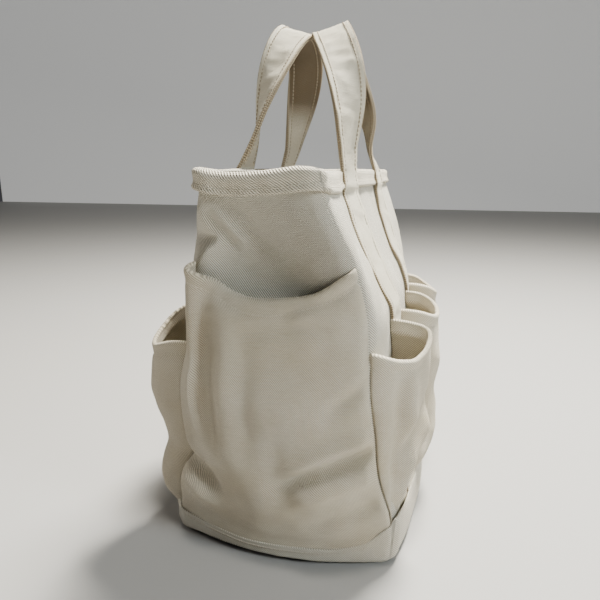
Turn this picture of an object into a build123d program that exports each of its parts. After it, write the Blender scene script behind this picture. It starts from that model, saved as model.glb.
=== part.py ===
"""Canvas tool bucket: a square tote with pockets on all four sides and two strap handles.

Millimetres, +Z up. X runs along the length, the front is at -Y, and the origin is at the middle of the
underside. Every cut piece of canvas is a solid of its own, about as thick as the sewn cloth.
"""
import os
from math import cos, hypot, pi, radians, sin

from build123d import *

# ---- cloth ---------------------------------------------------------------------------------------
WALL = 2.0              # body canvas with its seams
POCKET = 1.6            # pocket canvas
STRAP = 2.0             # one layer of strap
HEM = 2.0               # folded hem, on top of the body canvas
BOOT = 2.0              # reinforcement round the bottom

# ---- body: half sizes of the outside at three heights ------------------------------------------------
BASE_Z, KNEE_Z, RIM_Z = 0.0, 190.0, 300.0
BASE_HALF = (120.0, 90.0)
KNEE_HALF = (138.0, 74.0)   # just over the side pockets, where the walls start to lean in
RIM_HALF = (163.0, 42.0)    # the same girth, pinched flat between the handles
HEM_DEPTH = 15.0
BOOT_TOP = 38.0

# ---- straps and handles ------------------------------------------------------------------------------
STRAP_WIDTH = 40.0
STRAP_CENTRE = 53.0         # each side of the middle
FOLD_Z = RIM_Z + 1.5        # line that the handle folds over on, along the strap's outer face
FOLD_GAP = 1.2              # the sewn strap ends this far under the fold
HANDLE_WIDTH = 38.0
HANDLE_START = 0.4          # the loop begins this far past the fold
HANDLE_RISE = 118.0         # from the fold to the top of the loop, along the loop's own plane
HANDLE_LEAN = 13.9          # degrees, towards the other handle
HANDLE_STEPS = 20
ARCH_FULLNESS = 0.83        # under 1 makes the loop squarer than half an ellipse

# ---- pockets -------------------------------------------------------------------------------------------
SIDE_MOUTH_Z = 182.0
END_MOUTH_Z = 233.0
CORNER_INSET = 1.5          # a pocket's edge stands this far in from the corner seam
# (height, how far the pocket stands out there)
SIDE_BULGE = (
    (BOOT_TOP + 0.5, POCKET + 0.6),
    (BOOT_TOP + 12, 13.0),
    (BOOT_TOP + 28, 22.0),
    (96.0, 27.5),
    (SIDE_MOUTH_Z, 31.0),
)
MIDDLE_BULGE = (
    (BOOT_TOP + 0.5, POCKET + 0.6),
    (BOOT_TOP + 12, 15.0),
    (BOOT_TOP + 28, 26.0),
    (96.0, 32.0),
    (SIDE_MOUTH_Z, 35.0),
)
END_BULGE = ((BOOT_TOP + 0.5, POCKET + 0.6), (BOOT_TOP + 30, 12.0), (KNEE_Z, 16.0), (END_MOUTH_Z, 15.0))

# ---- seam bindings inside the four corners ----------------------------------------------------------
BINDING_WIDTH = 12.0
BINDING_THICK = 1.5
BINDING_TOP = RIM_Z - HEM_DEPTH

# Each wall: the way along it, seen from outside and going anticlockwise from above, and the way out of it.
WALLS = {
    "front": (Vector(1, 0), Vector(0, -1)),
    "back": (Vector(-1, 0), Vector(0, 1)),
    "left": (Vector(0, -1), Vector(-1, 0)),
    "right": (Vector(0, 1), Vector(1, 0)),
}


def half_sizes(z):
    """Half length and half width of the body's outside at height z."""
    low, high, low_half, high_half = BASE_Z, KNEE_Z, BASE_HALF, KNEE_HALF
    if z > KNEE_Z:
        low, high, low_half, high_half = KNEE_Z, RIM_Z, KNEE_HALF, RIM_HALF
    share = (z - low) / (high - low)
    return tuple(p + (q - p) * share for p, q in zip(low_half, high_half))


def reach(wall, z):
    """(distance from the middle to the wall, half the wall's own length) at height z."""
    half_length, half_width = half_sizes(z)
    if wall in ("front", "back"):
        return half_width, half_length
    return half_length, half_width


def on_wall(wall, z, along, out):
    """The point that far along a wall from its middle, and that far out of its outer face."""
    along_way, out_way = WALLS[wall]
    spot = along_way * along + out_way * (reach(wall, z)[0] + out)
    return (spot.X, spot.Y)


def heights(low, high):
    """The heights that a piece from low to high needs: its ends, and the knee if it crosses it."""
    return [low, KNEE_Z, high] if low < KNEE_Z < high else [low, high]


def cloth_strip(wall, low, high, outline):
    """A loft of one four-cornered section at each height; outline(z) gives (along, out) pairs."""
    with BuildPart() as strip:
        for z in heights(low, high):
            with BuildSketch(Plane.XY.offset(z)):
                with BuildLine():
                    Polyline(*[on_wall(wall, z, *corner) for corner in outline(z)], close=True)
                make_face()
        loft(ruled=True)
    return strip


def mitred_layer(wall, low, high, inner, outer):
    """A layer of cloth along a whole wall, from inner to outer beyond its face, mitred at the corners."""

    def outline(z):
        half = reach(wall, z)[1]
        return [
            (-half - inner, inner),
            (half + inner, inner),
            (half + outer, outer),
            (-half - outer, outer),
        ]

    return cloth_strip(wall, low, high, outline)


def pocket_shell(wall, bulge, edges):
    """A pouch that stands out of a wall: an arc band at each height, from edges(z)[0] to edges(z)[1]."""
    with BuildPart() as pocket:
        for z, depth in bulge:
            first, last = edges(z)
            middle = (first + last) / 2
            with BuildSketch(Plane.XY.offset(z)):
                with BuildLine():
                    outside = ThreePointArc(
                        on_wall(wall, z, first, 0), on_wall(wall, z, middle, depth), on_wall(wall, z, last, 0)
                    )
                    inside = ThreePointArc(
                        on_wall(wall, z, last - POCKET, 0),
                        on_wall(wall, z, middle, depth - POCKET),
                        on_wall(wall, z, first + POCKET, 0),
                    )
                    Line(outside @ 1, inside @ 0)
                    Line(inside @ 1, outside @ 0)
                make_face()
        loft(ruled=True)
    return pocket


def sewn_strap(side, centre):
    """A strap flat on the wall, from the boot to just under the fold, stepping out over the rim hem."""
    out = -1 if side == "front" else 1
    hem_low = RIM_Z - HEM_DEPTH
    top = FOLD_Z - FOLD_GAP
    thick = 2 * STRAP

    def face(z, distance):
        return (out * (half_sizes(z)[1] + distance), z)

    with BuildPart() as strap:
        with BuildSketch(Plane.YZ.offset(centre - STRAP_WIDTH / 2)):
            with BuildLine():
                Polyline(
                    face(BOOT_TOP, 0),
                    face(KNEE_Z, 0),
                    face(hem_low, 0),
                    face(hem_low, HEM),
                    face(top, HEM),
                    face(top, HEM + thick),
                    face(hem_low - thick, HEM + thick),
                    face(hem_low - 2 * thick, STRAP),
                    face(KNEE_Z, STRAP),
                    face(BOOT_TOP, STRAP),
                    close=True,
                )
            make_face()
        extrude(amount=STRAP_WIDTH)
    return strap


def handle_layer(side, depth):
    """One layer of a handle's strap, whose outer face lies that deep under the strap's outer face.

    The strap leaves the fold flat on its wall, turns a quarter turn on its way up, crosses the top with
    its outer face upwards, and turns back on the way down.
    """
    out = -1 if side == "front" else 1
    lean = radians(HANDLE_LEAN)
    along = Vector(1, 0, 0)
    rise = Vector(0, -out * sin(lean), cos(lean))      # up the plane of the loop
    outward = Vector(0, out * cos(lean), sin(lean))    # square to that plane, away from the bag
    fold = Vector(0, out * (RIM_HALF[1] + HEM + 2 * STRAP), FOLD_Z)

    def arch(share):
        """Where the middle of the outer face is in the loop's plane, at a share of the way over."""
        turn = pi * min(max(share, 0), 1)
        return -STRAP_CENTRE * cos(turn), HANDLE_START + HANDLE_RISE * max(sin(turn), 0) ** ARCH_FULLNESS

    with BuildPart() as layer:
        for step in range(HANDLE_STEPS + 1):
            share = step / HANDLE_STEPS
            across, up = arch(share)
            before, after = arch(share - 0.01), arch(share + 0.01)
            run, climb = after[0] - before[0], after[1] - before[1]
            size = hypot(run, climb)
            forward = (along * run + rise * climb) * (1 / size)
            inward = (along * climb - rise * run) * (1 / size)
            raised = (up / (HANDLE_START + HANDLE_RISE)) ** 1.4
            twist = pi / 2 * raised * raised * (3 - 2 * raised)
            width_way = inward * cos(twist) + outward * sin(twist)
            section = Plane(origin=fold + along * across + rise * up, x_dir=width_way, z_dir=forward)
            with BuildSketch(section):
                with Locations((0, -out * (depth + STRAP / 2))):
                    Rectangle(HANDLE_WIDTH, STRAP)
        loft(ruled=True)
    return layer


def save(part, label):
    """Labels a finished piece, or a list of them, and writes it."""
    whole = part if isinstance(part, Compound) and not isinstance(part, Part) else part
    whole.label = label
    export_step(whole, f"parts/{label}.step")


os.makedirs("parts", exist_ok=True)

# ---- bottom ----------------------------------------------------------------------------------------------
with BuildPart() as boot_base:
    with BuildSketch():
        Rectangle(2 * (BASE_HALF[0] + BOOT), 2 * (BASE_HALF[1] + BOOT))
    extrude(amount=BOOT)
save(boot_base.part, "boot_base")

floor_half = [min(pair) - WALL for pair in zip(half_sizes(BOOT), half_sizes(BOOT + WALL))]
with BuildPart() as base_panel:
    with BuildSketch(Plane.XY.offset(BOOT)):
        Rectangle(2 * floor_half[0], 2 * floor_half[1])
    extrude(amount=WALL)
save(base_panel.part, "base_panel")

# ---- four walls, with the boot round the bottom and the folded hem round the rim --------------------
for wall in WALLS:
    panel_name = f"{wall}_panel" if wall in ("front", "back") else f"{wall}_end_panel"
    save(mitred_layer(wall, BOOT, RIM_Z, -WALL, 0).part, panel_name)
    save(mitred_layer(wall, BOOT, BOOT_TOP, 0, BOOT).part, f"boot_{wall}")
    save(mitred_layer(wall, RIM_Z - HEM_DEPTH, RIM_Z, 0, HEM).part, f"rim_hem_{wall}")

# ---- pockets -----------------------------------------------------------------------------------------------
strap_edge = STRAP_CENTRE + STRAP_WIDTH / 2
strap_inner_edge = STRAP_CENTRE - STRAP_WIDTH / 2


def outer_pocket(z):
    return strap_edge, half_sizes(z)[0] - CORNER_INSET


def middle_pocket(z):
    return -strap_inner_edge, strap_inner_edge


def outer_pocket_mirrored(z):
    return tuple(-edge for edge in reversed(outer_pocket(z)))


def end_pocket(z):
    half = half_sizes(z)[1] - CORNER_INSET
    return -half, half


for wall, left_edges, right_edges in (
    ("front", outer_pocket_mirrored, outer_pocket),
    ("back", outer_pocket, outer_pocket_mirrored),
):
    save(pocket_shell(wall, SIDE_BULGE, left_edges).part, f"{wall}_pocket_left")
    save(pocket_shell(wall, MIDDLE_BULGE, middle_pocket).part, f"{wall}_pocket_middle")
    save(pocket_shell(wall, SIDE_BULGE, right_edges).part, f"{wall}_pocket_right")
for wall in ("left", "right"):
    save(pocket_shell(wall, END_BULGE, end_pocket).part, f"{wall}_end_pocket")

# ---- straps and handles ---------------------------------------------------------------------------------
for side in ("front", "back"):
    save(sewn_strap(side, -STRAP_CENTRE).part, f"{side}_strap_left")
    save(sewn_strap(side, STRAP_CENTRE).part, f"{side}_strap_right")
    save(handle_layer(side, STRAP).part, f"{side}_handle_inner")
    save(handle_layer(side, 0).part, f"{side}_handle_outer")

# ---- binding over the raw seam edges inside each corner -----------------------------------------------
bindings = []
for wall in ("left", "right"):
    for way in (-1, 1):

        def binding_outline(z):
            edge = reach(wall, z)[1] - WALL - BINDING_THICK
            near, far = way * edge, way * (edge - BINDING_WIDTH)
            inner, outer = -WALL - BINDING_THICK, -WALL
            return [(near, inner), (far, inner), (far, outer), (near, outer)]

        bindings.append(cloth_strip(wall, BOOT + WALL, BINDING_TOP, binding_outline).part)
save(Compound(children=bindings), "seam_bindings")
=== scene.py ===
"""Looks of the canvas tool bucket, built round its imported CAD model.

Shapes are in millimetres until a mesh is made. The bag is long in X and wide in Y. Its near end is its left one, at -x,
and its front wall is the one at -y."""
from math import cos, pi, radians, sin

import bmesh
import bpy
import numpy as np
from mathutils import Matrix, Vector


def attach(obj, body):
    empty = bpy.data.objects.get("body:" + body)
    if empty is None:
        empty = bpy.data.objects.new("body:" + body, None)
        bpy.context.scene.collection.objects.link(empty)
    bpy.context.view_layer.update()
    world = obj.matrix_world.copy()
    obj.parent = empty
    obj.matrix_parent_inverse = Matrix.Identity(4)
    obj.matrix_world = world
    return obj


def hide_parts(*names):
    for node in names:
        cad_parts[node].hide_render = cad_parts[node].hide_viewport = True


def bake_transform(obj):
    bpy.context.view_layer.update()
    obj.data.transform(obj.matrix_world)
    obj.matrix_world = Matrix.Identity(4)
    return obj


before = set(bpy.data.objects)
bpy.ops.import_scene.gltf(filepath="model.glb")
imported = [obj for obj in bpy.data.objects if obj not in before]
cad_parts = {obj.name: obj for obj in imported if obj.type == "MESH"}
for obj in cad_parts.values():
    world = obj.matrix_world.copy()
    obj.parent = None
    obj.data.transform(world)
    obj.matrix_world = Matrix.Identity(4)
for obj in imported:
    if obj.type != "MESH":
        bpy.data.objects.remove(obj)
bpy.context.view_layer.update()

MM = 0.001
SIN45 = sin(pi / 4)
RIM_Z = 300.0

# ---- small tools ----------------------------------------------------------------------------------------


def smooth(x, table):
    """A smooth curve through (x, value) pairs, level past both ends."""
    xs = np.array([row[0] for row in table], float)
    vs = np.array([row[1] for row in table], float)
    slopes = np.gradient(vs, xs)
    x = np.clip(np.asarray(x, float), xs[0], xs[-1])
    i = np.clip(np.searchsorted(xs, x) - 1, 0, len(xs) - 2)
    h = xs[i + 1] - xs[i]
    t = (x - xs[i]) / h
    return (
        (2 * t**3 - 3 * t**2 + 1) * vs[i]
        + (t**3 - 2 * t**2 + t) * h * slopes[i]
        + (-2 * t**3 + 3 * t**2) * vs[i + 1]
        + (t**3 - t**2) * h * slopes[i + 1]
    )


def ease(x, low, high):
    """0 before low, 1 after high, and smooth between."""
    t = np.clip((np.asarray(x, float) - low) / (high - low), 0, 1)
    return t * t * (3 - 2 * t)


def bump(x, centre, width):
    """1 at the centre, and falling smoothly to 0 some two widths away."""
    return np.exp(-(((np.asarray(x, float) - centre) / width) ** 2))


def fold(u, v, start, end, width, height, taper=0.25):
    """A rounded fold of that height along the line from start to end, over coordinates (u, v)."""
    du, dv = end[0] - start[0], end[1] - start[1]
    length = np.hypot(du, dv)
    along = ((u - start[0]) * du + (v - start[1]) * dv) / length**2
    across = ((u - start[0]) * dv - (v - start[1]) * du) / length
    ends = ease(along, -taper, taper) * (1 - ease(along, 1 - taper, 1 + taper))
    return height * ends * np.exp(-((across / width) ** 2))


LATTICE_SIZE = 32
LATTICE_SHIFT = 17.3     # keeps the origin away from the lattice's corners
LATTICE = np.random.default_rng(11).uniform(-1, 1, (LATTICE_SIZE,) * 3)


def ripple(points, size, shift=0.0):
    """Smooth noise from -1 to 1 over points in mm, with lumps of that size."""
    p = np.asarray(points, float) / size + LATTICE_SHIFT + shift
    cell = np.floor(p).astype(int)
    t = p - cell
    t = t * t * (3 - 2 * t)
    total = 0
    for corner in range(8):
        bits = [(corner >> k) & 1 for k in range(3)]
        weight = 1
        for k in range(3):
            weight = weight * (t[..., k] if bits[k] else 1 - t[..., k])
        index = [(cell[..., k] + bits[k]) % LATTICE_SIZE for k in range(3)]
        total = total + weight * LATTICE[index[0], index[1], index[2]]
    return total


def normals(grid, around=False):
    """Unit normals of a grid of points (rows, columns, 3), pointing outwards where the columns run anticlockwise
    seen from above and the rows upwards."""
    if around:
        d_col = np.roll(grid, -1, 1) - np.roll(grid, 1, 1)
    else:
        d_col = np.gradient(grid, axis=1)
    d_row = np.gradient(grid, axis=0)
    n = np.cross(d_col, d_row)
    return n / np.maximum(np.linalg.norm(n, axis=2, keepdims=True), 1e-9)


def lengths(grid, axis):
    """Running length along a grid's rows or columns, for laying the weave."""
    step = np.linalg.norm(np.diff(grid, axis=axis), axis=2)
    run = np.cumsum(step, axis=axis)
    pad = [(0, 0), (0, 0)]
    pad[axis] = (1, 0)
    return np.pad(run, pad)


collection = bpy.context.scene.collection


def make(name, points, faces, weave=None, material=None, body="bag", replaced=(), slot=None):
    """A smooth-shaded piece from points in mm. weave gives (u, v) in mm for each point."""
    mesh = bpy.data.meshes.new(name)
    mesh.from_pydata((np.asarray(points) * MM).tolist(), [], [list(f) for f in faces])
    mesh.validate()
    if weave is not None:
        layer = mesh.uv_layers.new(name="weave")
        order = np.zeros(len(mesh.loops), int)
        mesh.loops.foreach_get("vertex_index", order)
        layer.data.foreach_set("uv", np.asarray(weave, float)[order].astype(np.float32).ravel())
    mesh.polygons.foreach_set("use_smooth", [True] * len(mesh.polygons))
    obj = bpy.data.objects.new(name, mesh)
    collection.objects.link(obj)
    if material is not None:
        mesh.materials.append(material)
    if body:
        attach(obj, body)
    if replaced:
        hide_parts(*replaced)
    return obj


def grid_faces(rows, cols, around=False, offset=0, flip=False):
    """The four-sided faces of a grid, whose last column joins its first one if it goes around."""
    faces = []
    for r in range(rows - 1):
        for c in range(cols if around else cols - 1):
            d = (c + 1) % cols
            f = (r * cols + c, r * cols + d, (r + 1) * cols + d, (r + 1) * cols + c)
            f = tuple(i + offset for i in f)
            faces.append(f[::-1] if flip else f)
    return faces


def cloth(name, outer, thickness, around=False, **options):
    """A sheet of cloth from its outer face, a grid of points, with rounded edges and that thickness.
    thickness is a number, or a grid of numbers."""
    rows, cols = outer.shape[:2]
    thick = np.broadcast_to(np.asarray(thickness, float), (rows, cols))[..., None]
    n = normals(outer, around)
    inner = outer - n * thick
    u = np.broadcast_to(lengths(outer, 1)[rows // 2], (rows, cols))
    v = outer[..., 2]
    weave = np.stack([u, v], 2).reshape(-1, 2)
    points = [outer.reshape(-1, 3), inner.reshape(-1, 3)]
    faces = grid_faces(rows, cols, around) + grid_faces(rows, cols, around, rows * cols, True)
    total = rows * cols
    # the border: a middle row that stands out a little makes a rounded edge
    if around:
        loops = [list(range(cols)), [(rows - 1) * cols + c for c in range(cols)][::-1]]
    else:
        loops = [
            list(range(cols))
            + [r * cols + cols - 1 for r in range(1, rows)]
            + [(rows - 1) * cols + c for c in range(cols - 2, -1, -1)]
            + [r * cols for r in range(rows - 2, 0, -1)]
        ]
    flat = outer.reshape(-1, 3)
    flat_inner = inner.reshape(-1, 3)
    flat_n = n.reshape(-1, 3)
    flat_t = thick.reshape(-1, 1)
    weave_all = [weave, weave]
    count = 2 * total
    for loop in loops:
        loop = np.array(loop)
        size = len(loop)
        tangent = np.roll(flat[loop], -1, 0) - np.roll(flat[loop], 1, 0)
        away = np.cross(tangent, flat_n[loop])
        away /= np.maximum(np.linalg.norm(away, axis=1, keepdims=True), 1e-9)
        points.append((flat[loop] + flat_inner[loop]) / 2 + away * flat_t[loop] * 0.42)
        weave_all.append(weave[loop])
        for k in range(size):
            a, b = loop[k], loop[(k + 1) % size]
            ma, mb = count + k, count + (k + 1) % size
            faces.append((a, ma, mb, b))
            faces.append((ma, a + total, b + total, mb))
        count += size
    return make(name, np.concatenate(points), faces, np.concatenate(weave_all), **options)


# ---- materials ------------------------------------------------------------------------------------------
RELIEF = 0.0007     # height of the weave, in metres


def fabric(name, finish):
    """A new material with those settings on its shader, and the makers of its nodes and of its textures."""
    mat = bpy.data.materials.new(name)
    mat.use_nodes = True
    nodes, links = mat.node_tree.nodes, mat.node_tree.links
    shader = nodes["Principled BSDF"]
    for key, value in finish.items():
        shader.inputs[key].default_value = value

    def node(kind, inputs=None, **properties):
        made = nodes.new(kind)
        for key, value in (inputs or {}).items():
            made.inputs[key].default_value = value
        for key, value in properties.items():
            setattr(made, key, value)
        return made

    def texture(kind, vector, inputs, **properties):
        made = node(kind, inputs, **properties)
        links.new(vector, made.inputs["Vector"])
        return made.outputs["Fac"]

    return mat, shader, links, node, texture


def canvas(name, colour, rib=1.95, strength=0.8, mottle=0.5, contrast=1.0, painted_shade_heights=None):
    """Undyed twill: diagonal ribs, slubs, a soft mottle and a matt, slightly fuzzy surface. rib is the ribs' spacing in
    mm. The last argument gives two heights in metres, from the first of which the colour is darkened as painted shade,
    fully so at the second."""
    mat, shader, links, node, texture = fabric(name, {
        "Roughness": 0.93, "Specular IOR Level": 0.18, "Sheen Weight": 0.22, "Sheen Roughness": 0.55,
        "Sheen Tint": (1.0, 0.96, 0.88, 1),
    })
    weave = node("ShaderNodeUVMap", uv_map="weave").outputs["UV"]
    place = node("ShaderNodeTexCoord").outputs["Object"]

    # diagonal ribs, and the yarns that cross them
    ribs = texture(
        "ShaderNodeTexWave", weave, {"Scale": 2 * pi / 10 / rib, "Distortion": 0.9, "Detail": 2, "Detail Scale": 0.35},
        wave_type="BANDS", bands_direction="DIAGONAL", wave_profile="SIN",
    )
    yarns = texture(
        "ShaderNodeTexWave", weave, {"Scale": 2 * pi / 20 / (rib * 0.62), "Distortion": 0.7, "Detail Scale": 0.5},
        wave_type="BANDS", bands_direction="Y", wave_profile="SIN",
    )
    stretched = node("ShaderNodeMapping", {"Scale": (0.09, 0.9, 1)})
    links.new(weave, stretched.inputs["Vector"])
    slubs = texture("ShaderNodeTexNoise", stretched.outputs["Vector"], {"Scale": 1.0, "Detail": 3})
    fuzz = texture("ShaderNodeTexNoise", weave, {"Scale": 1.5, "Detail": 4})
    patches = texture("ShaderNodeTexNoise", place, {"Scale": 22, "Detail": 5, "Roughness": 0.6})

    def mix_value(a, b, share):
        m = node("ShaderNodeMath", {1: share}, operation="MULTIPLY_ADD")
        links.new(a, m.inputs[0])
        links.new(b, m.inputs[2])
        return m.outputs[0]

    height = mix_value(yarns, ribs, 0.35)
    height = mix_value(slubs, height, 0.5)
    height = mix_value(fuzz, height, 0.5)
    relief = node("ShaderNodeBump", {"Strength": strength, "Distance": RELIEF})
    links.new(height, relief.inputs["Height"])
    links.new(relief.outputs["Normal"], shader.inputs["Normal"])

    # colour: rib valleys a little darker (painted shade in the grooves), slubs and patches a little warmer or greyer
    def tint(fac, low, high, before, amount=1.0):
        ramp = node("ShaderNodeValToRGB")
        ramp.color_ramp.elements[0].position, ramp.color_ramp.elements[0].color = 0.25, (*low, 1)
        ramp.color_ramp.elements[1].position, ramp.color_ramp.elements[1].color = 0.75, (*high, 1)
        links.new(fac, ramp.inputs["Fac"])
        mix = node("ShaderNodeMix", data_type="RGBA", blend_type="MULTIPLY")
        mix.inputs["Factor"].default_value = amount
        if isinstance(before, tuple):
            mix.inputs[6].default_value = (*before, 1)
        else:
            links.new(before, mix.inputs[6])
        links.new(ramp.outputs["Color"], mix.inputs[7])
        return mix.outputs[2]

    out = tint(patches, (0.84, 0.79, 0.70), (1.0, 1.0, 1.0), colour, amount=mottle)
    out = tint(slubs, (0.93, 0.92, 0.9), (1.03, 1.03, 1.02), out)
    out = tint(ribs, (0.40, 0.38, 0.345), (1.22, 1.22, 1.22), out, amount=0.85 * contrast)
    out = tint(fuzz, (0.82, 0.81, 0.79), (1.07, 1.07, 1.07), out)
    # painted shade: darker upwards, from the first height to the second
    if painted_shade_heights:
        apart = node("ShaderNodeSeparateXYZ")
        links.new(place, apart.inputs["Vector"])
        span = node("ShaderNodeMapRange", {"From Min": painted_shade_heights[0], "From Max": painted_shade_heights[1]})
        links.new(apart.outputs["Z"], span.inputs["Value"])
        out = tint(span.outputs["Result"], (1.0, 1.0, 1.0), (0.25, 0.21, 0.165), out)
    links.new(out, shader.inputs["Base Color"])
    return mat


def thread_material(name, colour):
    """Spun thread, a little uneven in colour."""
    mat, shader, links, node, texture = fabric(name, {"Roughness": 0.8, "Sheen Weight": 0.2})
    noise = texture("ShaderNodeTexNoise", node("ShaderNodeTexCoord").outputs["Object"], {"Scale": 900})
    ramp = node("ShaderNodeValToRGB")
    ramp.color_ramp.elements[0].color = (*[c * 0.75 for c in colour], 1)
    ramp.color_ramp.elements[1].color = (*[min(c * 1.1, 1) for c in colour], 1)
    links.new(noise, ramp.inputs["Fac"])
    links.new(ramp.outputs["Color"], shader.inputs["Base Color"])
    return mat


BODY = canvas("body_twill", (0.80, 0.775, 0.69))
POCKET = canvas("pocket_twill", (0.73, 0.68, 0.575), rib=1.7, mottle=1.0, strength=0.6, contrast=0.7)
HEM = canvas("hem_twill", (0.80, 0.755, 0.645), rib=2.2, strength=0.75)
BOOT = canvas("boot_twill", (0.80, 0.77, 0.69), mottle=0.8, contrast=0.6)
STRAP = canvas("strap_twill", (0.84, 0.80, 0.675), rib=1.5, mottle=0.6, contrast=0.25)
# The strap's side faces: a darker brown copy of the canvas, painted shade along the strap's edges.
SHADED_EDGE = canvas("strap_edge_painted_shade", (0.56, 0.475, 0.35), rib=1.9, mottle=0.8, strength=0.9)
# The loops' underside: a darker, warmer copy of the strap canvas, painted shade, darker still towards the top of the
# loop.
SHADED_UNDERSIDE = canvas("strap_underside_painted_shade", (0.76, 0.69, 0.56), rib=1.6, mottle=1.0, contrast=0.3, painted_shade_heights=(0.325, 0.375))
# The groove between the strap's two layers: near-black, painted shade.
SHADED_GROOVE = canvas("strap_groove_painted_shade", (0.16, 0.12, 0.08), rib=1.6, mottle=0.8)
BINDING = canvas("binding_weave", (0.70, 0.61, 0.47), rib=1.5)
THREAD = thread_material("thread", (0.66, 0.59, 0.47))
DARK_THREAD = thread_material("handle_thread", (0.42, 0.34, 0.23))

# ---- the body's shape -------------------------------------------------------------------------------------
# Half length and half width at the corner seams, by height.
CORNER_X = (
    (0, 118), (30, 121.5), (62, 126.5), (110, 131), (145, 134), (174, 137), (200, 141), (236, 148.5), (266, 155.5),
    (300, 163),
)
CORNER_Y = (
    (0, 91), (30, 89.5), (46, 87), (62, 82), (77, 78), (114, 75), (144, 73), (174, 70.5), (200, 69.5), (236, 62.5),
    (266, 52), (289, 43.5), (300, 41),
)
# The near end leans a little towards the front.
NEAR_SHIFT = (
    (0, -1), (46, -3), (77, -3), (114, -2.5), (144, -1.5), (174, -4), (215, -5), (236, -4.5), (266, -1.5), (290, 0),
)
# Radius of the corners, seen from above.
CORNER_R = ((0, 9), (46, 6), (120, 6), (160, 9), (190, 13), (230, 16), (270, 13), (300, 9))
# How far the middle of a wall stands out from the line between its corners.
LONG_BELLY = ((0, 10.5), (30, 9.5), (60, 8.5), (110, 8.5), (156, 9.5), (195, 8), (214, 4), (249, 0), (300, 0))
END_BELLY = (
    (0, 15), (30, 14), (60, 11), (110, 8), (160, 5), (200, -1), (236, -10), (262, -8), (285, -2.5), (300, 0.5),
)


def sizes(wall, z):
    """(distance of the wall from the middle, half its length, corner radius)."""
    x, y, r = smooth(z, CORNER_X), smooth(z, CORNER_Y), smooth(z, CORNER_R)
    return (y, x, r) if wall in ("front", "back") else (x, y, r)


def wall_end(wall, z):
    """How far along the wall its corner seam is."""
    _, half, r = sizes(wall, z)
    return half - r + r * SIN45


# How far the front wall is drawn in, or out, at its two straps.
NEAR_PINCH = ((196, 0), (214, -5), (235, -8), (255, -8.5), (275, -7.5), (288, -7), (300, -7))
FAR_PINCH = ((212, 0), (226, -3), (245, -3), (262, -1.5), (280, 0.5), (300, 1))
# How far inside the near back corner the crease of its facet lies, by height.
CHAMFER = ((222, 0), (232, 4), (239, 12), (248, 20), (254, 25), (262, 16), (274, 7), (288, 0.8), (296, 0))


def crumple(p):
    """The near back corner is pushed in under the rim, which leaves a slanting facet between two creases."""
    x, y, z = p[..., 0], p[..., 1], p[..., 2]
    crease = smooth(z, CORNER_Y) - smooth(z, CHAMFER)
    facet = np.clip(y - crease, 0, 24) * ease(z, 222, 234) * (1 - ease(z, 284, 294))
    near = ease(-x, 85, 140)
    ridge = bump(y - crease, 0, 5) * ease(z, 236, 248) * (1 - ease(z, 268, 290))
    p[..., 0] = x + 1.15 * facet * near - 2.2 * ridge * near
    p[..., 1] = y + 0.46 * facet * near
    # lower down, the same corner swells and is nipped in where the pocket folds
    swell = 3.5 * bump(z, 130, 30) - 5.5 * bump(z, 80, 12) + 1.5 * bump(z, 52, 12)
    p[..., 1] += swell * ease(-x, 80, 132) * ease(y, 15, 70)
    return p


def wall_folds(wall, a, z):
    """Creases and slack in the body's own canvas; a is the way along, from -x or -y to +."""
    if wall == "left":
        return (
            fold(a, z, (33, 276), (16, 250), 4.6, 3.0)
            + fold(a, z, (41, 274), (25, 246), 5.0, -3.6)
            + fold(a, z, (22, 282), (4, 244), 9, -3.4)
            + fold(a, z, (-20, 285), (-30, 225), 22, 4.5)
            + fold(a, z, (40, 236), (14, 232), 8, -2.0)
        )
    if wall == "right":
        return fold(a, z, (-32, 278), (-10, 246), 8, 3.0) + fold(a, z, (30, 270), (5, 235), 14, -4)
    pinch = smooth(z, NEAR_PINCH) * bump(a, -74, 36) + smooth(z, FAR_PINCH) * bump(a, 38, 46)
    slack = fold(a, z, (-128, 232), (-90, 262), 12, -3.5) + fold(a, z, (-120, 205), (-82, 236), 9, 2.2)
    slack = slack + fold(a, z, (128, 240), (92, 214), 12, -3.0) + fold(a, z, (-20, 240), (25, 205), 16, -2.5)
    if wall == "back":
        return 3.5 * ease(z, 235, 290) * bump(a, -62, 34) - slack * 0.6
    return pinch + slack


def wall_point(wall, along, z):
    """Points of a wall's outer face. along runs from -x to +x on the long walls and -y to +y on the ends."""
    along, z = np.broadcast_arrays(np.asarray(along, float), np.asarray(z, float))
    dist, half, r = sizes(wall, z)
    end = half - r + r * SIN45
    a = np.clip(along, -end, end)
    over = np.clip((np.abs(a) - (half - r)) / r, 0, SIN45)
    drop = r * (1 - np.sqrt(1 - over**2))
    q = a / end
    window = 1 - q**2
    belly = smooth(z, LONG_BELLY if wall in ("front", "back") else END_BELLY)
    out = dist - drop + belly * window * (1 + 0.25 * window)
    out = out + wall_folds(wall, a, z) * np.minimum(1, 5 * window)
    if wall == "front":
        p = np.stack([a, -out, z], -1)
    elif wall == "back":
        p = np.stack([a, out, z], -1)
    elif wall == "left":
        p = np.stack([-out, a, z], -1)
    else:
        p = np.stack([out, a, z], -1)
    p[..., 1] += smooth(z, NEAR_SHIFT) * ease(-p[..., 0], 30, 130)
    p = crumple(p)
    fine = ripple(p, 34) * 1.1 + ripple(p, 15, 3.1) * 0.45
    n = {"front": (0, -1, 0), "back": (0, 1, 0), "left": (-1, 0, 0), "right": (1, 0, 0)}[wall]
    return p + (fine * np.minimum(1, 4 * window))[..., None] * np.array(n)


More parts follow.
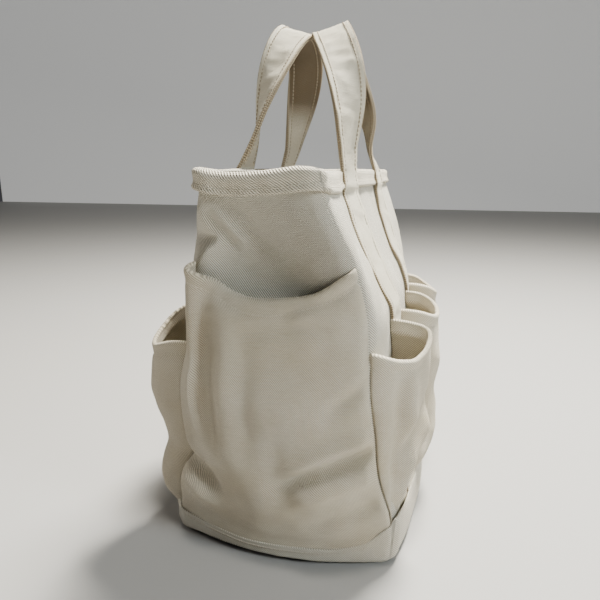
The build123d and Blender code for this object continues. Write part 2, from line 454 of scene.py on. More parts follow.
def onto_wall(wall, along, z, lift):
    """Points lifted off a wall, along its own normal."""
    along, z = np.broadcast_arrays(np.asarray(along, float), np.asarray(z, float))
    p = wall_point(wall, along, z)
    d_a = wall_point(wall, along + 1.5, z) - wall_point(wall, along - 1.5, z)
    d_z = wall_point(wall, along, z + 1.5) - wall_point(wall, along, z - 1.5)
    n = np.cross(d_a, d_z)
    if wall in ("back", "left"):
        n = -n
    n /= np.maximum(np.linalg.norm(n, axis=-1, keepdims=True), 1e-9)
    return p + n * np.asarray(lift, float)[..., None]


ORDER = ("front", "right", "back", "left")     # anticlockwise from above
FORWARD = {"front": 1, "right": 1, "back": -1, "left": -1}


def columns(wall, count):
    """Shares of a wall's length from one corner seam to the next, closer together round the corners."""
    middle = np.linspace(-0.9, 0.9, count)
    near = np.array([-1, -0.985, -0.967, -0.945, -0.925])
    shares = np.concatenate([near, middle, -near[::-1]])
    return shares * FORWARD[wall]


def wall_grid(wall, share, levels):
    """Points of a wall at some shares of its length and some heights."""
    z = np.broadcast_to(np.asarray(levels, float)[:, None], (len(levels), len(share)))
    return wall_point(wall, share * wall_end(wall, z), z)


# ---- body panels -------------------------------------------------------------------------------------------
PANELS = {"front": "front_panel", "back": "back_panel", "left": "left_end_panel", "right": "right_end_panel"}
PANEL_THICK = 1.8
WALL_COUNTS = (84, 56, 84, 56)     # columns in the middle of each wall, in ORDER
panel_levels = np.concatenate([np.linspace(3, 285, 95), [290, 295, 299]])
for wall, count in zip(ORDER, WALL_COUNTS):
    outer = wall_grid(wall, columns(wall, count), panel_levels)
    cloth(f"{PANELS[wall]}_cloth", outer, PANEL_THICK, material=BODY, replaced=[PANELS[wall]], slot="body_canvas")

# ---- rim hem: the canvas turned over, thick and rounded -------------------------------------------------


def rim_wave(points):
    """The rim isn't quite level."""
    x, y = points[..., 0], points[..., 1]
    left_end = ease(-x, 120, 165)
    wave = left_end * (2.2 * bump(y, -30, 14) - 1.6 * bump(y, 12, 22) + 2.4 * bump(y, 42, 10))
    wave = wave - 2.4 * ease(x, -160, -152) * (1 - ease(x, -130, -60)) * ease(-y, 25, 35)
    return wave + 0.8 * ripple(points, 60, 5.0)


HEM_STITCH = 10.0     # depth of the hem's row of stitches
# The hem's section: (depth below the rim, distance out from the wall's face).
HEM_PROFILE = (
    (13.8, -0.2), (14.6, 1.4), (13.9, 3.0), (12.2, 3.5), (HEM_STITCH, 2.7), (7.6, 2.5), (4.6, 3.1), (2.0, 3.5),
    (0.2, 2.0), (-0.6, -0.3), (-0.2, -2.2), (1.4, -3.9), (4.5, -4.5), (9.0, -4.3), (12.0, -4.0), (13.2, -2.8),
    (12.6, -1.5),
)
HEM_COUNTS = (110, 60, 110, 60)
hem_levels = [RIM_Z - 18, RIM_Z - 12, RIM_Z - 6, RIM_Z]
hem_base = np.concatenate(
    [wall_grid(wall, columns(wall, count)[:-1], hem_levels) for wall, count in zip(ORDER, HEM_COUNTS)], axis=1
)
hem_up = hem_base[-1] - hem_base[0]
hem_up /= np.linalg.norm(hem_up, axis=1, keepdims=True)
hem_side = normals(hem_base, True)[-1]
hem_top = hem_base[-1] + rim_wave(hem_base[-1])[:, None] * np.array([0, 0, 1.0])
hem_rows = []
# the near end's hem laps over the front one, with a dip beside the lap
step = 1.5 * ease(-hem_top[:, 0], 150, 158) - 1.6 * bump(hem_top[:, 0], -149, 4) * (hem_top[:, 1] < 0)
for down, out in HEM_PROFILE:
    if out > 0:
        pucker = 0.35 * ripple(hem_top, 7, down * 0.01) + 0.5 * ripple(hem_top, 24, 2.0)
        groove = -0.3 * float(bump(down, HEM_STITCH, 1.6))
        out = out + (groove + step + pucker)[:, None]
    hem_rows.append(hem_top - hem_up * down + hem_side * out)
hem_rows.append(hem_rows[0])
hem_grid = np.array(hem_rows)
u = np.broadcast_to(lengths(hem_grid, 1)[4], hem_grid.shape[:2])
v = np.broadcast_to(lengths(hem_grid, 0)[:, [20]], hem_grid.shape[:2])
# the last row is the first one again, so its faces go back to the first row's points
hem_cols = hem_grid.shape[1]
hem_total = (len(hem_rows) - 1) * hem_cols
make(
    "rim_hem_cloth",
    hem_grid[:-1].reshape(-1, 3),
    [tuple(i % hem_total for i in f) for f in grid_faces(len(hem_rows), hem_cols, True)],
    np.stack([u, v], 2)[:-1].reshape(-1, 2),
    material=HEM,
    replaced=["rim_hem_front", "rim_hem_back", "rim_hem_left", "rim_hem_right"],
    slot="body_canvas",
)

# ---- boot: the reinforcement over the bottom --------------------------------------------------------------
BOOT_EDGE = {
    "left": ((-95, 43), (-82, 34), (-70, 23.5), (-55, 18.5), (-20, 16.5), (10, 16), (50, 18.5), (78, 21), (95, 24)),
    "right": ((-95, 38), (-70, 30), (0, 22), (70, 28), (95, 38)),
    "front": ((-125, 43), (-105, 39), (-60, 37), (0, 36), (60, 37), (125, 38)),
    "back": ((-125, 24), (-110, 30), (-60, 36), (0, 37), (60, 36), (125, 38)),
}


def boot_edge(wall, along):
    """Height of the boot's upper edge."""
    return smooth(along, BOOT_EDGE[wall])


def ground_lift(wall, along):
    """The bottom edge doesn't sit flat on the table everywhere."""
    if wall == "left":
        return 4.6 * bump(along, 50, 34) + 3.4 * bump(along, -10, 34) + 1.6 * bump(along, -52, 20)
    return np.zeros(np.shape(along))


def boot_row(share_up, inset, wall, along):
    """A row of the boot's points, at a share of its height and drawn in by inset where it turns under the bag."""
    top = boot_edge(wall, along)
    z = np.maximum(share_up * top, 0.2)
    lifted = z + ground_lift(wall, along) * (1 - share_up) ** 2
    q = np.abs(along) / wall_end(wall, z)
    seam = 0.55 * bump(q, 0.955, 0.02) - 1.1 * bump(q, 1.0, 0.014)
    if inset >= 1:
        seam = 0
    p = onto_wall(wall, along, z, 2.9 + 0.9 * ease(share_up, 0.5, 0.95) - inset + seam)
    p[..., 2] = np.maximum(lifted, 0.15)
    return p


BOOT_THICK = 1.5
# Rows from the bottom up: (share of the boot's height, inset).
BOOT_ROWS = [(0.0, 9.5), (0.0, 5.8), (0.03, 2.9), (0.1, 1.0), (0.18, 0.2)]
BOOT_ROWS += [(s, 0.0) for s in np.linspace(0.26, 0.94, 12)] + [(0.975, 0.0), (1.0, 0.25)]
boot_parts = []
for wall, count in zip(ORDER, WALL_COUNTS):
    share = columns(wall, count)[:-1]
    rows = []
    for s, inset in BOOT_ROWS:
        along = share * wall_end(wall, np.full(len(share), s * 30.0))
        rows.append(boot_row(s, inset, wall, along))
    boot_parts.append(np.array(rows))
boot_grid = np.concatenate(boot_parts, axis=1)
cloth(
    "boot_side_cloth", boot_grid, BOOT_THICK, True, material=BOOT, slot="boot_canvas",
    replaced=["boot_front", "boot_back", "boot_left", "boot_right"],
)


def disc(name, edge, height, rows, **options):
    """A flat sheet at that height inside a closed edge of points, with slight ripples."""
    grid = edge * np.linspace(1.0, 0.02, rows)[:, None, None]
    grid[0, :, 2] = edge[:, 2]
    grid[1:, :, 2] = height
    grid[..., 2] += 0.15 * ripple(grid, 25)
    flat = grid[..., :2].reshape(-1, 2)
    faces = grid_faces(rows, grid.shape[1], True)
    faces.append(tuple((rows - 1) * grid.shape[1] + c for c in range(grid.shape[1])))
    return make(name, grid.reshape(-1, 3), faces, flat, **options)


DISC_ROWS = 12
FLOOR_Z = 4.0     # where the floor's edge meets the walls
floor_edge = []
for wall, count in zip(ORDER, WALL_COUNTS):
    share = columns(wall, count)[:-1]
    floor_edge.append(onto_wall(wall, share * wall_end(wall, FLOOR_Z), FLOOR_Z, -PANEL_THICK - 0.1))
floor_edge = np.concatenate(floor_edge)
disc("boot_base_cloth", boot_grid[0], 0.5, DISC_ROWS, material=BOOT, replaced=["boot_base"], slot="boot_canvas")
disc("base_panel_cloth", floor_edge, 3.4, DISC_ROWS, material=BODY, replaced=["base_panel"], slot="body_canvas")

# ---- stitches ---------------------------------------------------------------------------------------------
stitch_points, stitch_faces = {}, {}


def stitch(group, path, normal, pitch=3.4, long=2.5, thick=0.36):
    """A row of stitches along a path of points, lying on a surface with those normals."""
    path, normal = np.asarray(path, float), np.asarray(normal, float)
    run = np.concatenate([[0], np.cumsum(np.linalg.norm(np.diff(path, axis=0), axis=1))])
    count = int(run[-1] / pitch)
    at = (np.arange(count) + 0.5) * run[-1] / max(count, 1)
    centre = np.stack([np.interp(at, run, path[:, k]) for k in range(3)], 1)
    n = np.stack([np.interp(at, run, normal[:, k]) for k in range(3)], 1)
    ahead = np.stack([np.interp(at + 1, run, path[:, k]) for k in range(3)], 1)
    behind = np.stack([np.interp(at - 1, run, path[:, k]) for k in range(3)], 1)
    t = ahead - behind
    t /= np.maximum(np.linalg.norm(t, axis=1, keepdims=True), 1e-9)
    b = np.cross(n, t)
    b /= np.maximum(np.linalg.norm(b, axis=1, keepdims=True), 1e-9)
    n = np.cross(t, b)
    points = stitch_points.setdefault(group, [])
    faces = stitch_faces.setdefault(group, [])
    start = sum(len(p) for p in points)
    sides = 5
    stations = ((-0.5, 0.35, -0.22), (-0.28, 1.0, 0.05), (0.28, 1.0, 0.05), (0.5, 0.35, -0.22))
    rings = []
    for along, fat, high in stations:
        for s in range(sides):
            angle = 2 * pi * s / sides
            sideways = thick * fat * 1.15 * cos(angle)
            upwards = high + thick * fat * sin(angle)
            rings.append(centre + t * (along * long) + b * sideways + n * upwards)
    block = np.stack(rings, 1)
    points.append(block.reshape(-1, 3))
    per = sides * len(stations)
    for k in range(count):
        o = start + k * per
        for r in range(len(stations) - 1):
            for s in range(sides):
                e = (s + 1) % sides
                faces.append((o + r * sides + s, o + r * sides + e, o + (r + 1) * sides + e, o + (r + 1) * sides + s))
        faces.append(tuple(o + s for s in range(sides))[::-1])
        faces.append(tuple(o + per - sides + s for s in range(sides)))


def wall_line(wall, along, z, lift):
    """Points and normals along a line on a wall."""
    p = onto_wall(wall, along, z, lift)
    q = onto_wall(wall, along, z, np.asarray(lift) + 1.0)
    return p, q - p


for wall in ORDER:
    along = np.linspace(-0.985, 0.985, 120) * wall_end(wall, 40.0)
    z = boot_edge(wall, along) - 3.2
    p, n = wall_line(wall, along, z, np.full(along.shape, 3.7))
    stitch("bag", p, n)
line = hem_grid[[down for down, _ in HEM_PROFILE].index(HEM_STITCH)]
stitch("bag", np.concatenate([line, line[:1]]), np.concatenate([hem_side, hem_side[:1]]), pitch=3.6)

# ---- pockets ------------------------------------------------------------------------------------------------
POCKET_THICK = 1.3


def pocket_cloth(name, grid, node, mouth_rows, thin=1.0):
    """The pocket's sheet, thicker over the folded hem at its mouth, with the row of stitches under it. mouth_rows is
    how many rows the hem takes up, and thin makes it thinner, by column."""
    rows, cols = grid.shape[:2]
    thick = np.full((rows, cols), POCKET_THICK)
    thick[-mouth_rows:] = POCKET_THICK * 2.9
    thick[-mouth_rows - 1] = POCKET_THICK * 1.7
    thick = thick * thin
    n = normals(grid)
    seam = rows - mouth_rows
    grid = grid.copy()
    dents = 0.5 * ripple(grid, 6.5) + 0.4 * ripple(grid, 13, 4.0)
    # the stitches draw the cloth in, and the folded edge stands out
    near = np.zeros(rows)
    near[seam] = 1.0
    near[seam - 1] = near[seam + 1] = 0.55
    roll = np.zeros(rows)
    roll[-4:] = (0.3, 0.8, 1.1, 0.8)
    above = np.arange(rows) > seam
    raised = near[:, None] * (dents - 0.75) + 0.1 * dents * above[:, None] + roll[:, None]
    grid += n * raised[..., None]
    cloth(name, grid, thick, material=POCKET, replaced=[node], slot="pocket_canvas")
    stitch("bag", grid[seam, 1:-1], n[seam, 1:-1], pitch=3.3)


# the two end pockets
END_BULGE = ((15, 1.4), (22, 1.6), (30, 3.2), (44, 7.5), (70, 11), (110, 12.5), (160, 12.5), (200, 12), (240, 11))
END_MOUTH = {
    "left": (
        (-66, 240), (-62, 238.5), (-50, 231), (-24, 217), (0, 210.5), (14, 211), (30, 217), (46, 228), (56, 235),
        (66, 238),
    ),
    "right": ((-66, 238), (-46, 230), (0, 217), (46, 231), (66, 239)),
}


def end_folds(wall, y, z):
    """Folds of an end pocket. The far end has the near end's folds turned half round, and weaker."""
    if wall == "right":
        y = -y
    main = (
        fold(y, z, (-16, 63), (-88, 93), 9.5, 7.5)
        + fold(y, z, (-12, 77), (-88, 111), 5.0, -8.0)
        + fold(y, z, (-12, 90), (-88, 124), 6.5, 5.5)
        + fold(y, z, (-30, 40), (-86, 62), 7.0, -3.5)
        + fold(y, z, (-24, 112), (-80, 146), 12, 2.0)
        + fold(y, z, (-40, 128), (-76, 160), 7, -3.2)
        + fold(y, z, (84, 86), (44, 62), 5.5, -8.0)
        + fold(y, z, (84, 98), (40, 80), 8, 3.5)
        + fold(y, z, (84, 68), (50, 46), 8, 6.0)
        + fold(y, z, (62, 214), (58, 110), 5.0, 5.5)
        + fold(y, z, (50, 208), (45, 110), 6.5, -5.5)
        + fold(y, z, (33, 196), (32, 100), 9, 2.6)
        + fold(y, z, (16, 180), (18, 90), 9, -2.2)
        + fold(y, z, (20, 190), (-40, 198), 6, -2.2)
        + fold(y, z, (-18, 205), (-52, 196), 7, 2.0)
        + fold(y, z, (30, 95), (-2, 45), 16, 3.0)
        + fold(y, z, (-2, 110), (-10, 60), 10, -2.0)
        + fold(y, z, (-48, 30), (20, 27), 8, 2.0)
    )
    return main if wall == "left" else 0.7 * main


def end_pocket(wall):
    """An end pocket's grid of points, from the boot up to its mouth."""
    edge_cols = np.array([-1, -0.985, -0.965, -0.94, -0.91])
    cols = np.concatenate([edge_cols, np.linspace(-0.88, 0.88, 78), -edge_cols[::-1]])
    share_up = np.concatenate([np.linspace(0, 0.945, 88), [0.954, 0.963, 0.972, 0.982, 0.991, 1.0]])
    q = np.broadcast_to(cols * FORWARD[wall], (len(share_up), len(cols)))
    up = np.broadcast_to(share_up[:, None], q.shape)
    low = boot_edge(wall, q * 90) - 5
    high = smooth(q * wall_end(wall, 230.0), END_MOUTH[wall])
    z = low + (high - low) * up
    a = q * wall_end(wall, z) * 0.994
    # the seam on the back side is crisp, and the one on the front side lies flat into the wall
    front_side = ease(-q, -0.2, 0.6)
    window = (1 - q**2) ** (0.42 + 0.5 * front_side * ease(z, 110, 190))
    lift = 1.5 + (smooth(z, END_BULGE) - 1.4) * window
    inside = np.minimum(1, 6 * (1 - q**2))
    lift = lift + end_folds(wall, a, z) * inside
    lift = np.maximum(lift, 1.45 + 1.2 * inside) - 1.25 * ease(-q, 0.93, 1.0) * ease(z, 100, 130)
    p = onto_wall(wall, a, z, lift)
    # the mouth's loose corner stands away from the seam and curls round it
    side = 1 if wall == "left" else -1
    curl = ease(up, 0.8, 1.0) * bump(q, side * 0.9, 0.13)
    p[..., 1] += side * 6.5 * curl * (1 - np.abs(q) ** 30)
    p[..., 0] -= side * 5.0 * curl * (1 - np.abs(q) ** 30)
    fine = 1.2 * ripple(p, 30, 1.0) + 0.5 * ripple(p, 12, 2.0)
    return p + normals(p) * (fine * np.minimum(1, 5 * (1 - q**2)))[..., None]


END_MOUTH_ROWS, SIDE_MOUTH_ROWS = 6, 7
for wall in ("left", "right"):
    grid = end_pocket(wall)
    at_front = np.linspace(0, 1, grid.shape[1])
    if wall == "right":
        at_front = at_front[::-1]
    thin = 1 - 0.75 * ease(at_front, 0.93, 1.0)
    pocket_cloth(f"{wall}_end_pocket_cloth", grid, f"{wall}_end_pocket", END_MOUTH_ROWS, thin)

# How far the six side pockets stand out from their wall, by height.
SIDE_D = ((36, 0.8), (42, 7), (52, 16), (66, 23.5), (84, 28), (110, 30), (150, 31), (190, 32))
MID_D = ((34, 0.8), (42, 9), (52, 17), (66, 24), (84, 28), (110, 29.5), (150, 30), (190, 32))
NEAR_D = ((40, 0.6), (47, 2.5), (56, 8.5), (66, 14.5), (84, 20.5), (100, 24), (130, 27), (160, 28), (190, 29.5))
BACK_NEAR_D = (
    (22, 1), (29, 16), (40, 22), (52, 24), (70, 26.5), (88, 28), (104, 30.5), (125, 33), (160, 35), (190, 37),
)
POCKET_WIDTH = 66


def side_pocket(wall, inner, outer, depth, mouth, skew, folds, seed):
    """A side pocket's grid of points. outer and inner give how far along the wall its two attached edges are, by
    height, and its columns run from the one to the other. depth goes by height and mouth by share of the columns. skew
    makes the pocket fuller towards inner. Each fold's ends are (mm across, height)."""
    theta = np.linspace(0, pi, 46)
    mouth_shares = [0.934, 0.945, 0.956, 0.967, 0.978, 0.989, 1.0]
    share_up = np.concatenate([np.linspace(0, 0.04, 4), np.linspace(0.065, 0.92, 56), mouth_shares])
    u = (1 - np.cos(theta)) / 2
    u2, up = np.meshgrid(u, share_up)
    th2, _ = np.meshgrid(theta, share_up)
    low = min(boot_edge(wall, (inner(60) + outer(60)) / 2), depth[0][0] + 3) - 3
    top = smooth(u2, mouth)
    z = low + (top - low) * up
    a0, a1 = outer(z), inner(z)
    start, end = onto_wall(wall, a0, z, np.full(z.shape, 1.2)), onto_wall(wall, a1, z, np.full(z.shape, 1.2))
    chord = end - start
    chord[..., 2] = 0
    out = np.array([0, -1.0 if wall == "front" else 1.0, 0])
    c = np.sign(np.cos(th2)) * np.abs(np.cos(th2)) ** 0.86
    d = smooth(z, depth) * np.abs(np.sin(th2)) ** 0.78 * (1 + skew * (u2 - 0.5) * 2)
    place = 0.5 - 0.5 * c + 0.15 * np.sin(th2) ** 2 * skew
    p = start + chord * place[..., None] + out * d[..., None]
    p[..., 2] = z
    window = np.minimum(1, 3.5 * np.sin(th2))
    extra = 1.2 * ripple(p, 30, seed) + 0.5 * ripple(p, 12, seed + 1)
    for f in folds:
        extra = extra + fold(u2 * POCKET_WIDTH, z, *f)
    n = normals(p)
    if wall == "back":
        n = -n
    return p + n * (extra * window)[..., None]


def edge_at(value):
    """A pocket's edge straight up the wall."""
    return lambda z: np.zeros(np.shape(z)) + value


def corner_edge(side):
    """A pocket's edge beside the corner seam, on the near side if side is -1 and the far side if it is 1."""
    return lambda z: side * (wall_end("front", z) - 0.6)


STRAP_HALF = 18.8     # half of the straps' width
STRAP_X = 54.6        # how far the straps are from the middle of their wall
inner_strap, outer_strap = STRAP_X - STRAP_HALF + 0.4, STRAP_X + STRAP_HALF - 0.4
NEAR_MOUTH = ((0, 175), (0.12, 170), (0.3, 165.5), (0.5, 167), (0.7, 174), (0.86, 181), (1, 185))
FLAT_MOUTH = ((0, 184), (0.25, 177), (0.5, 174.5), (0.75, 177), (1, 185))
# Each pocket's wall, inner and outer edge, depth, mouth, skew, folds and seed of its ripples.
pockets = {
    "front_pocket_left": (
        "front", edge_at(-outer_strap), corner_edge(-1), NEAR_D, NEAR_MOUTH, 0.5,
        [((24, 74), (54, 112), 6, 3.5), ((20, 92), (50, 128), 7, -4.5), ((22, 44), (30, 92), 5, 3.5),
         ((10, 48), (16, 150), 6, -5.0), ((27, 110), (25, 160), 5, 2.2), ((44, 50), (40, 84), 6, -3.5)], 1.0,
    ),
    "front_pocket_middle": (
        "front", edge_at(inner_strap), edge_at(-inner_strap), MID_D, FLAT_MOUTH, 0.04,
        [((8, 60), (30, 112), 7, -4.0), ((58, 70), (38, 105), 7, -3.0), ((20, 140), (50, 120), 9, 2.5)], 2.0,
    ),
    "front_pocket_right": (
        "front", edge_at(outer_strap), corner_edge(1), SIDE_D, FLAT_MOUTH, 0.1,
        [((12, 80), (46, 112), 7, 3.5), ((14, 100), (40, 130), 8, -3.5), ((22, 46), (30, 88), 6, 3.0)], 3.0,
    ),
    "back_pocket_left": (
        "back", edge_at(-outer_strap), corner_edge(-1), BACK_NEAR_D,
        ((0, 172), (0.14, 166), (0.35, 166), (0.6, 173), (0.85, 184), (1, 189)), -0.12,
        [((6, 100), (36, 88), 8, -1.5), ((16, 130), (44, 112), 10, 2.0), ((30, 44), (34, 84), 5, -3.0)], 4.0,
    ),
    "back_pocket_middle": (
        "back", edge_at(inner_strap), edge_at(-inner_strap), MID_D, FLAT_MOUTH, 0.03,
        [((10, 64), (32, 110), 7, -3.5), ((56, 60), (36, 100), 7, -3.0)], 5.0,
    ),
    "back_pocket_right": (
        "back", edge_at(outer_strap), corner_edge(1), SIDE_D, FLAT_MOUTH, 0.1,
        [((12, 84), (46, 110), 7, 3.5), ((20, 46), (30, 88), 6, -3.0)], 6.0,
    ),
}
for node, (wall, inner, outer, depth, mouth, skew, folds, seed) in pockets.items():
    grid = side_pocket(wall, inner, outer, depth, mouth, skew, folds, seed)
    # the columns have to run anticlockwise, seen from above
    if (outer(100) < inner(100)) != (wall == "front"):
        grid = grid[:, ::-1]
    pocket_cloth(f"{node}_cloth", grid, node, SIDE_MOUTH_ROWS)

# ---- straps: sewn down the long walls, over the hem, and up into the handle loops ------------------------
# The loops' stations: (x, y, z, how far the strap has turned about its own length, in degrees).
LOOPS = {
    "front": [
        (-55, -39.5, 312, 8), (-54.5, -40.3, 326, 20), (-53, -40, 346, 34), (-46.5, -35.5, 371, 55),
        (-34.5, -26.5, 394, 75), (-18, -16.5, 411, 85), (0, -10.4, 418.5, 90), (18, -12.5, 411.5, 95),
        (34, -17.0, 395, 106), (46, -28, 371, 126), (53, -39, 346, 148), (55, -40.5, 328, 163), (55.5, -38.5, 312, 174),
    ],
    "back": [
        (-55, 44.0, 312, 5), (-54, 40, 326, 14), (-52.5, 35, 347, 30), (-46, 29, 371, 52), (-34, 23, 394, 71),
        (-18, 18.3, 410.5, 83), (0, 15.4, 417.5, 90), (18, 16, 410.5, 97), (33.5, 18.6, 394, 109), (46, 25, 371, 129),
        (53, 32.5, 347, 152), (55.5, 38.5, 326, 168), (56, 41, 312, 176),
    ],
}
TOP_TILT = {"front": 15.0, "back": 19.0}     # slope of the strap across the top of its loop, in degrees
LEG_THICK, LOOP_THICK = 2.8, 3.8
STATIONS = 420
SOFTENING_PASSES = 14


def spline(points, count):
    """Evenly spaced points on a smooth curve through the given ones."""
    points = np.asarray(points, float)
    run = np.concatenate([[0], np.cumsum(np.linalg.norm(np.diff(points[:, :3], axis=0), axis=1))])
    at = np.linspace(0, run[-1], count)
    return np.stack([smooth(at, list(zip(run, points[:, k]))) for k in range(points.shape[1])], 1)


def strap_stations(side):
    """Along the whole strap, up one leg, round the loop and down the other leg: the middle of its outer face, the ways
    across it and out of it, how free of the wall it is, and the running length."""
    out = -1.0 if side == "front" else 1.0
    leg_z = np.concatenate([np.linspace(31, 270, 90), np.linspace(272.5, 298, 16)])
    legs = {}
    for sign in (-1, 1):
        x = sign * STRAP_X + 0.9 * np.sin(leg_z / 37 + sign)
        over_hem = ease(leg_z, RIM_Z - 20, RIM_Z - 12.5) * 2.8
        settle = 0.35 * ripple(np.stack([x, np.zeros(len(x)), leg_z], 1), 16, sign)
        lift = LEG_THICK + over_hem + settle + 0.4 * ease(leg_z, 292, 300)
        p = onto_wall(side, x, leg_z, lift)
        up = np.gradient(p, axis=0)
        up /= np.linalg.norm(up, axis=1, keepdims=True)
        width = wall_point(side, x + 6, leg_z) - wall_point(side, x - 6, leg_z)
        width -= up * np.sum(width * up, 1, keepdims=True)
        width /= np.linalg.norm(width, axis=1, keepdims=True)
        legs[sign] = (p, width)
    loop = spline(LOOPS[side], 120)[3:-3]
    near_p, near_w = legs[-1]
    far_p, far_w = legs[1][0][::-1], legs[1][1][::-1]
    path = np.concatenate([near_p, loop[:, :3], far_p])
    turn = np.concatenate([np.zeros(len(near_p)), loop[:, 3], np.full(len(far_p), 180.0)])
    base_w = np.concatenate([near_w, np.tile([[1.0, 0, 0]], (len(loop), 1)), far_w])
    # space the stations evenly
    run = np.concatenate([[0], np.cumsum(np.linalg.norm(np.diff(path, axis=0), axis=1))])
    at = np.linspace(0, run[-1], STATIONS)
    path = np.stack([np.interp(at, run, path[:, k]) for k in range(3)], 1)
    turn = np.interp(at, run, turn)
    base_w = np.stack([np.interp(at, run, base_w[:, k]) for k in range(3)], 1)
    # soften the run above the hem, so that no step shows where leg and loop meet
    free = ease(path[:, 2], 288, 318)
    blur = np.array([1, 4, 6, 4, 1]) / 16
    for _ in range(SOFTENING_PASSES):
        padded = np.pad(path, ((2, 2), (0, 0)), mode="edge")
        softened = np.stack([np.convolve(padded[:, k], blur, "valid") for k in range(3)], 1)
        path = path + (softened - path) * free[:, None]
        turn = turn + (np.convolve(np.pad(turn, 2, mode="edge"), blur, "valid") - turn) * free
    forward = np.gradient(path, axis=0)
    forward /= np.linalg.norm(forward, axis=1, keepdims=True)
    angle = np.radians(turn)
    tilt = radians(TOP_TILT[side])
    outward = np.array([0, out * cos(tilt), sin(tilt)])
    width = base_w * np.cos(angle)[:, None] + outward * np.sin(angle)[:, None]
    width -= forward * np.sum(width * forward, 1, keepdims=True)
    width /= np.linalg.norm(width, axis=1, keepdims=True)
    # the way across turns half round over the loop, so this is the outer face on both legs
    face = np.cross(width, forward) * -out
    if np.sum(face[:60, 1]) * out < 0:
        face = -face
    return path, width, face, free, at


# Material of each face round the strap's section, by slot: 0 the strap canvas, and 1, 2 and 3 the edge, underside and
# groove canvases, darker as painted shade. The faces run: the outer face, an edge with the groove between the two
# layers, the underside, and the other edge.
EDGE_PARTS = [1, 1, 1, 3, 1, 1, 1]
SECTION_PARTS = [0] * 14 + EDGE_PARTS + [2] * 14 + EDGE_PARTS


def strap(side):
    """A whole strap, legs and loop in one, with its rows of stitches."""
    path, width, face, free, run = strap_stations(side)
    half = STRAP_HALF - 3.0 * free
    thick = LEG_THICK + (LOOP_THICK - LEG_THICK) * free
    cup = 1.1 * free * ease(path[:, 2], 330, 400)
    # the section: (share of the half width, share of the thickness)
    inner_share = np.linspace(-0.93, 0.93, 15)
    edge = [(0.985, 0.13), (1.0, 0.3), (0.955, 0.47), (0.955, 0.53), (1.0, 0.7), (0.985, 0.87)]
    profile = [(w, 0.0) for w in inner_share] + edge
    profile += [(w, 1.0) for w in inner_share[::-1]] + [(-w, t) for w, t in edge[::-1]]
    seam_share = 1 - 5.6 / STRAP_HALF
    grid = []
    for w, t in profile:
        deep = t * thick
        lift = cup * (w * w - 0.3)
        if t in (0.0, 1.0):
            dip = 0.55 * float(bump(abs(w), seam_share, 0.09))
            deep = deep + (dip if t == 0.0 else -dip)
        if t == 0.0:
            spot = path + width * (w * 18)
            stretched = np.stack([spot @ np.array([0.3, 0.1, 0.1]), run, np.full(len(run), w * 7)], 1)
            long_lumps = 1.1 * ripple(stretched, 7.5, 6.0) + 0.5 * ripple(stretched, 4, 2.0)
            lift = lift + 0.3 * ripple(spot, 9, 3.0) + long_lumps * (1 - w * w)
        grid.append(path + width * (half * w)[:, None] + face * (lift - deep)[:, None])
    grid = np.array(grid).transpose(1, 0, 2)
    cols = len(profile)
    across = np.array([w * STRAP_HALF + (0 if t < 0.5 else 40) for w, t in profile])
    weave = np.stack([np.broadcast_to(across, grid.shape[:2]), np.broadcast_to(run[:, None], grid.shape[:2])], 2)
    faces = grid_faces(len(path), cols, True)
    if side == "back":
        faces = [f[::-1] for f in faces]
    faces.append(tuple(range(cols)))
    faces.append(tuple((len(path) - 1) * cols + c for c in range(cols)))
    obj = make(
        f"{side}_strap_cloth", grid.reshape(-1, 3), faces, weave.reshape(-1, 2), material=STRAP, body=None,
        replaced=[f"{side}_strap_left", f"{side}_strap_right", f"{side}_handle_inner", f"{side}_handle_outer"],
        slot="strap_canvas",
    )
    # slots 1 to 3: the edge, underside and groove canvases, all darker as painted shade
    for extra in (SHADED_EDGE, SHADED_UNDERSIDE, SHADED_GROOVE):
        obj.data.materials.append(extra)
    for i, poly in enumerate(obj.data.polygons):
        if i < (len(path) - 1) * cols:
            kind = SECTION_PARTS[i % cols]
            poly.material_index = kind if free[i // cols] > 0.5 or kind != 2 else 0
    face_outwards(obj)
    for w in (-seam_share, seam_share):
        near = path + width * (half * w)[:, None]
        lift = cup * (w * w - 0.3)
        row = near + face * (lift - 0.2)[:, None]
        high = path[:, 2] > 297
        stitch(f"{side}_strap", row[high], face[high], pitch=3.3, thick=0.5)
        middle = np.argmax(path[:, 2])
        for leg in (np.arange(len(path)) < middle, np.arange(len(path)) >= middle):
            stitch("bag", row[~high & leg], face[~high & leg], pitch=3.3)
        loop = free > 0.6
        under = near - face * (thick - lift)[:, None]
        stitch(f"{side}_strap", (under + face * 0.2)[loop], -face[loop], pitch=3.3, thick=0.5)
    return obj


def face_outwards(obj):
    """Turns every face of a closed piece outwards."""
    bm = bmesh.new()
    bm.from_mesh(obj.data)
    bmesh.ops.recalc_face_normals(bm, faces=bm.faces)
    bm.to_mesh(obj.data)
    bm.free()


strap_pieces = {side: strap(side) for side in ("front", "back")}
threads = {}
for group in stitch_points:
    threads[group] = make(
        f"{group}_stitches", np.concatenate(stitch_points[group]), stitch_faces[group], None,
        THREAD if group == "bag" else DARK_THREAD,
        body="bag" if group == "bag" else None, slot="strap_canvas",
    )
for side in ("front", "back"):
    for obj in (strap_pieces[side], threads[f"{side}_strap"]):
        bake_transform(obj)

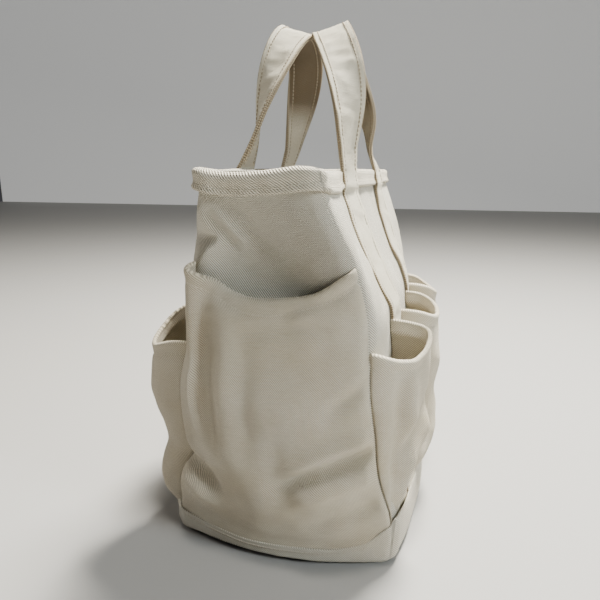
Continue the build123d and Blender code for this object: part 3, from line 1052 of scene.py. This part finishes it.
# ---- binding tape over the seams inside the corners --------------------------------------------------------
TAPE_WIDTH = 11
binding_points, binding_faces, binding_weave, offset = [], [], [], 0
for wall in ("left", "right"):
    for way in (-1, 1):
        z = np.linspace(5, 285, 90)
        shares = np.array([0, 0.08, 0.2, 0.5, 0.8, 0.92, 1.0])
        grid = []
        for s in shares:
            along = way * (wall_end(wall, z) - 4 - TAPE_WIDTH * s)
            grid.append(onto_wall(wall, along, z, np.full(z.shape, -2.0 - (0.9 if 0 < s < 1 else 0.1))))
        grid = np.array(grid).transpose(1, 0, 2)
        binding_points.append(grid.reshape(-1, 3))
        binding_faces += grid_faces(len(z), len(shares), offset=offset)
        binding_weave.append(np.stack(np.meshgrid(shares * TAPE_WIDTH, z), 2).reshape(-1, 2))
        offset += len(z) * len(shares)
make(
    "seam_bindings_tape", np.concatenate(binding_points), binding_faces, np.concatenate(binding_weave),
    material=BINDING, replaced=["seam_bindings"], slot="binding_tape",
)

# ---- camera, light and floor ------------------------------------------------------------------------------


CAMERA_PLACE = (-503, -124, 301)
CAMERA_TURN = radians(15.5)     # from +X towards +Y
CAMERA_DIP = radians(13.2)      # below level

lens = bpy.data.cameras.new("camera")
lens.sensor_width = 36
lens.lens = 33.6
lens.clip_start = 0.01
camera = bpy.data.objects.new("camera", lens)
collection.objects.link(camera)
camera.location = Vector(CAMERA_PLACE) * MM
ahead = Vector((cos(CAMERA_TURN) * cos(CAMERA_DIP), sin(CAMERA_TURN) * cos(CAMERA_DIP), -sin(CAMERA_DIP)))
camera.rotation_euler = ahead.to_track_quat("-Z", "Y").to_euler()
bpy.context.scene.camera = camera


def area_light(name, place, target, size, power, colour):
    """A square light, with places and its side in metres and its power in watts."""
    data = bpy.data.lights.new(name, "AREA")
    data.shape = "RECTANGLE"
    data.size = data.size_y = size
    data.energy = power
    data.color = colour
    light = bpy.data.objects.new(name, data)
    light.location = place
    light.rotation_euler = (Vector(target) - Vector(place)).to_track_quat("-Z", "Y").to_euler()
    collection.objects.link(light)


area_light("overhead", (0.55, -0.3, 1.6), (0, 0, 0.25), 0.4, 130, (1.0, 0.97, 0.88))
area_light("top", (-0.36, -0.1, 1.9), (-0.1, 0, 0.1), 0.25, 11, (1.0, 0.97, 0.9))
area_light("window", (-0.62, -1.5, 0.95), (0, 0, 0.2), 0.4, 23, (0.87, 0.95, 0.98))
area_light("side", (-0.2, 1.5, 1.2), (0, 0, 0.2), 0.4, 4, (1.0, 0.96, 0.9))

world = bpy.data.worlds.new("studio")
world.use_nodes = True
world.node_tree.nodes["Background"].inputs["Color"].default_value = (0.93, 0.95, 1.0, 1)
world.node_tree.nodes["Background"].inputs["Strength"].default_value = 0.05
bpy.context.scene.world = world

REACH = 4.0     # half the floor's side, in metres
WALL_X = 3.9


def stage_sheet(name, corners, colour, roughness, glow=0.0):
    """A plain painted rectangle of floor or wall, which may glow a little."""
    mesh = bpy.data.meshes.new(name)
    mesh.from_pydata(corners, [], [(0, 1, 2, 3)])
    paint = bpy.data.materials.new(f"{name}_paint")
    paint.use_nodes = True
    shader = paint.node_tree.nodes["Principled BSDF"]
    shader.inputs["Base Color"].default_value = (*colour, 1)
    shader.inputs["Roughness"].default_value = roughness
    if glow:
        shader.inputs["Emission Color"].default_value = (0.95, 0.95, 0.93, 1)
        shader.inputs["Emission Strength"].default_value = glow
    mesh.materials.append(paint)
    sheet = bpy.data.objects.new(name, mesh)
    collection.objects.link(sheet)
    return sheet


floor_corners = [(-REACH, -REACH, 0), (REACH, -REACH, 0), (REACH, REACH, 0), (-REACH, REACH, 0)]
floor = stage_sheet("floor", floor_corners, (0.40, 0.39, 0.375), 0.7)
wall_corners = [(WALL_X, -REACH, 0), (WALL_X, -REACH, REACH), (WALL_X, REACH, REACH), (WALL_X, REACH, 0)]
backdrop = stage_sheet("backdrop", wall_corners, (0.6, 0.6, 0.59), 0.9, glow=0.34)
